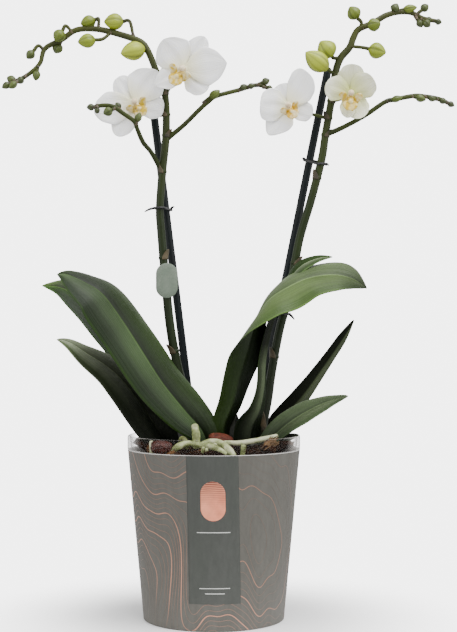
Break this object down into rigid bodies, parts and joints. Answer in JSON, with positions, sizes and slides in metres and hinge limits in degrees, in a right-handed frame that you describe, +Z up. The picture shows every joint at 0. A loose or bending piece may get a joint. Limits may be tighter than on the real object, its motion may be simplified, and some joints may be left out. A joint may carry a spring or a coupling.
{
  "type": "potted multiflora moth orchid",
  "caption": "Potted moth orchid with small whitish blooms and buds on arching spikes, broad leaves, support stakes and a clear grow pot in a printed card sleeve.",
  "frame": {"origin": "centre of the flat underside of the grow pot, where the plant stands", "axes": "+Z up along the pot, +X to the right and -Y out of the front, the side the blooms face"},
  "size_m": [0.3403, 0.1304, 0.4651],
  "materials": {
    "sleeve_card": "matt printed card with copper lines",
    "clear_plastic": "clear, slightly clouded",
    "bark": "rough dark red-brown",
    "root_skin": "smooth silvery green",
    "crown_skin": "satin green",
    "leaf_blade": "waxy satin green",
    "stem_skin": "satin olive green",
    "stake_wood": "dyed dark teal black",
    "tie_wire": "black",
    "tag_plastic": "pale sage green",
    "tepal": "soft greyish white",
    "young_tepal": "soft greenish cream",
    "lip": "soft yellow with a pinkish column"
  },
  "bodies": {
    "root": {"sleeve": "sleeve_card", "grow_pot": "clear_plastic", "growing_medium": "bark", "bark_chip_left": "bark", "bark_chip_middle": "bark", "bark_chip_right": "bark", "aerial_roots_front": "root_skin", "aerial_roots_back": "root_skin", "crown_left": "crown_skin", "crown_right": "crown_skin", "leaf_left_front": "leaf_blade", "leaf_left_back": "leaf_blade", "leaf_left_low": "leaf_blade", "leaf_right_front": "leaf_blade", "leaf_right_upright": "leaf_blade", "leaf_right_back": "leaf_blade", "leaf_right_low": "leaf_blade", "leaf_right_small": "leaf_blade", "spike_left": "stem_skin", "spike_right": "stem_skin", "stake_left": "stake_wood", "stake_right": "stake_wood", "tie_left": "tie_wire", "tie_right_high": "tie_wire", "tie_right_low": "tie_wire", "name_tag": "tag_plastic", "bloom_left_high_tepals": "tepal", "bloom_left_low_tepals": "tepal", "bloom_right_low_tepals": "tepal", "bloom_right_high_tepals": "young_tepal", "bloom_left_high_lip": "lip", "bloom_left_low_lip": "lip", "bloom_right_low_lip": "lip", "bloom_right_high_lip": "lip"}
  },
  "joints": []
}
